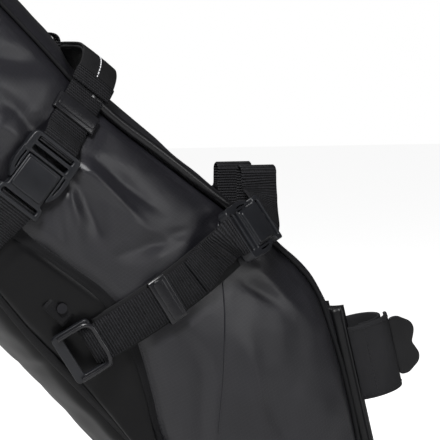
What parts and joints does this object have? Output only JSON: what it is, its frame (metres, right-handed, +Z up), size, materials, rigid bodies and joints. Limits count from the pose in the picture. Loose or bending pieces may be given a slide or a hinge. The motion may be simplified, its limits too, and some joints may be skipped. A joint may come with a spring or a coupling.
{
  "type": "saddle bag",
  "caption": "Roll-top bikepacking seat pack that hangs from the saddle rails and clamps to the seatpost with a cuff, cinched by buckled webbing straps.",
  "frame": {"origin": "centre of the seatpost cuff, on the seatpost's axis", "axes": "+X points forward on the bicycle, +Z up, +Y to the bicycle's left"},
  "size_m": [0.4268, 0.2054, 0.4456],
  "materials": {
    "body_fabric": "coated ripstop, satin",
    "coated_fabric": "smooth coated, matte",
    "stiffener_sheet": "plain",
    "piping": "satin",
    "metal": "polished",
    "trim": "woven",
    "rubber_pad": "satin ribs",
    "cuff_fabric": "brushed, matte",
    "buckle_plastic": "satin",
    "wire": "satin",
    "webbing": "ribbed webbing"
  },
  "bodies": {
    "pack": {"side_panel_right": "body_fabric", "side_panel_left": "body_fabric", "nose_side_panel_right": "body_fabric", "nose_side_panel_left": "body_fabric", "lower_side_panel_right": "coated_fabric", "lower_side_panel_left": "coated_fabric", "top_panel": "body_fabric", "nose_front_panel": "body_fabric", "base_panel": "coated_fabric", "base_stiffener": "stiffener_sheet", "edge_piping_right": "piping", "edge_piping_left": "piping", "edge_stays": "metal", "seam_tape_right": "trim", "seam_tape_left": "trim", "base_binding_right": "trim", "base_binding_left": "trim", "roll_top": "body_fabric", "roll_stiffener": "stiffener_sheet", "post_pad": "rubber_pad", "cuff_wrap": "cuff_fabric", "cuff_hook_patch": "cuff_fabric", "front_strap_backings": "webbing", "front_strap_right": "webbing", "front_strap_left": "webbing", "front_buckle_socket_right": "buckle_plastic", "front_buckle_socket_left": "buckle_plastic", "loop_buckle_right": "buckle_plastic", "loop_buckle_left": "buckle_plastic", "loop_anchor_right": "trim", "loop_anchor_left": "trim", "anchor_rivets": "metal", "rear_strap_top": "webbing", "rear_strap_sleeve": "webbing", "rear_buckle_socket_right": "buckle_plastic", "rear_buckle_socket_left": "buckle_plastic", "rear_strap_lower": "webbing", "rail_strap_right": "webbing", "rail_strap_left": "webbing", "roll_buckle_socket_right": "buckle_plastic", "roll_buckle_socket_left": "buckle_plastic", "roll_anchor_straps": "webbing", "roll_tabs": "webbing", "ridge_loops": "webbing", "nose_cap": "body_fabric"},
    "front_tongue_right": {"front_buckle_tongue_right": "buckle_plastic"},
    "front_tongue_left": {"front_buckle_tongue_left": "buckle_plastic"},
    "rear_tongue_right": {"rear_buckle_tongue_right": "buckle_plastic"},
    "rear_tongue_left": {"rear_buckle_tongue_left": "buckle_plastic"},
    "roll_tongue_right": {"roll_buckle_tongue_right": "buckle_plastic"},
    "roll_tongue_left": {"roll_buckle_tongue_left": "buckle_plastic"},
    "front_keeper_right": {"front_keeper_right": "buckle_plastic"},
    "front_keeper_left": {"front_keeper_left": "buckle_plastic"},
    "rear_keeper_right": {"rear_keeper_right": "buckle_plastic"},
    "rear_keeper_left": {"rear_keeper_left": "buckle_plastic"},
    "bail_right": {"loop_bail_right": "wire"},
    "bail_left": {"loop_bail_left": "wire"},
    "cuff_closure": {"cuff_flap": "cuff_fabric", "cuff_loop_patch": "cuff_fabric", "cuff_pull_tab": "cuff_fabric"}
  },
  "joints": [
    {"name": "front_buckle_release_right", "type": "slide", "parent": "pack", "child": "front_tongue_right", "axis": [-0.7003, -0.6853, -0.2001], "range_m": [0, 0.02], "deforming": ["front_strap_right"]},
    {"name": "front_buckle_release_left", "type": "slide", "parent": "pack", "child": "front_tongue_left", "axis": [-0.7003, 0.6853, -0.2001], "range_m": [0, 0.02], "deforming": ["front_strap_left"]},
    {"name": "rear_buckle_release_right", "type": "slide", "parent": "pack", "child": "rear_tongue_right", "axis": [0.6111, -0.0183, 0.7914], "range_m": [0, 0.02], "deforming": ["rear_strap_top"]},
    {"name": "rear_buckle_release_left", "type": "slide", "parent": "pack", "child": "rear_tongue_left", "axis": [0.6111, 0.0183, 0.7914], "range_m": [0, 0.02]},
    {"name": "roll_buckle_release_right", "type": "slide", "parent": "pack", "child": "roll_tongue_right", "axis": [-0.6383, -0.0766, 0.766], "range_m": [0, 0.02], "deforming": ["roll_tabs"]},
    {"name": "roll_buckle_release_left", "type": "slide", "parent": "pack", "child": "roll_tongue_left", "axis": [-0.6383, 0.0766, 0.766], "range_m": [0, 0.02]},
    {"name": "front_keeper_right_slide", "type": "slide", "parent": "pack", "child": "front_keeper_right", "axis": [0.8464, 0.0141, 0.5323], "range_m": [-0.006, 0.01]},
    {"name": "front_keeper_left_slide", "type": "slide", "parent": "pack", "child": "front_keeper_left", "axis": [0.8464, -0.0141, 0.5323], "range_m": [-0.006, 0.01]},
    {"name": "rear_keeper_right_slide", "type": "slide", "parent": "pack", "child": "rear_keeper_right", "axis": [-0.5543, -0.4236, -0.7165], "range_m": [-0.008, 0]},
    {"name": "rear_keeper_left_slide", "type": "slide", "parent": "pack", "child": "rear_keeper_left", "axis": [-0.5543, 0.4236, -0.7165], "range_m": [-0.008, 0]},
    {"name": "loop_bail_swing_right", "type": "hinge", "parent": "pack", "child": "bail_right", "pos_m": [-0.22292, -0.06957, 0.0161], "axis": [0.5325, 0.0002, -0.8464], "range_deg": [0, 70]},
    {"name": "loop_bail_swing_left", "type": "hinge", "parent": "pack", "child": "bail_left", "pos_m": [-0.22292, 0.06957, 0.0161], "axis": [-0.5325, 0.0002, 0.8464], "range_deg": [0, 70]},
    {"name": "cuff_opening", "type": "hinge", "parent": "pack", "child": "cuff_closure", "pos_m": [-0.0128, -0.01781, -0.00312], "axis": [0.2368, 0, -0.9715], "range_deg": [0, 90]}
  ]
}
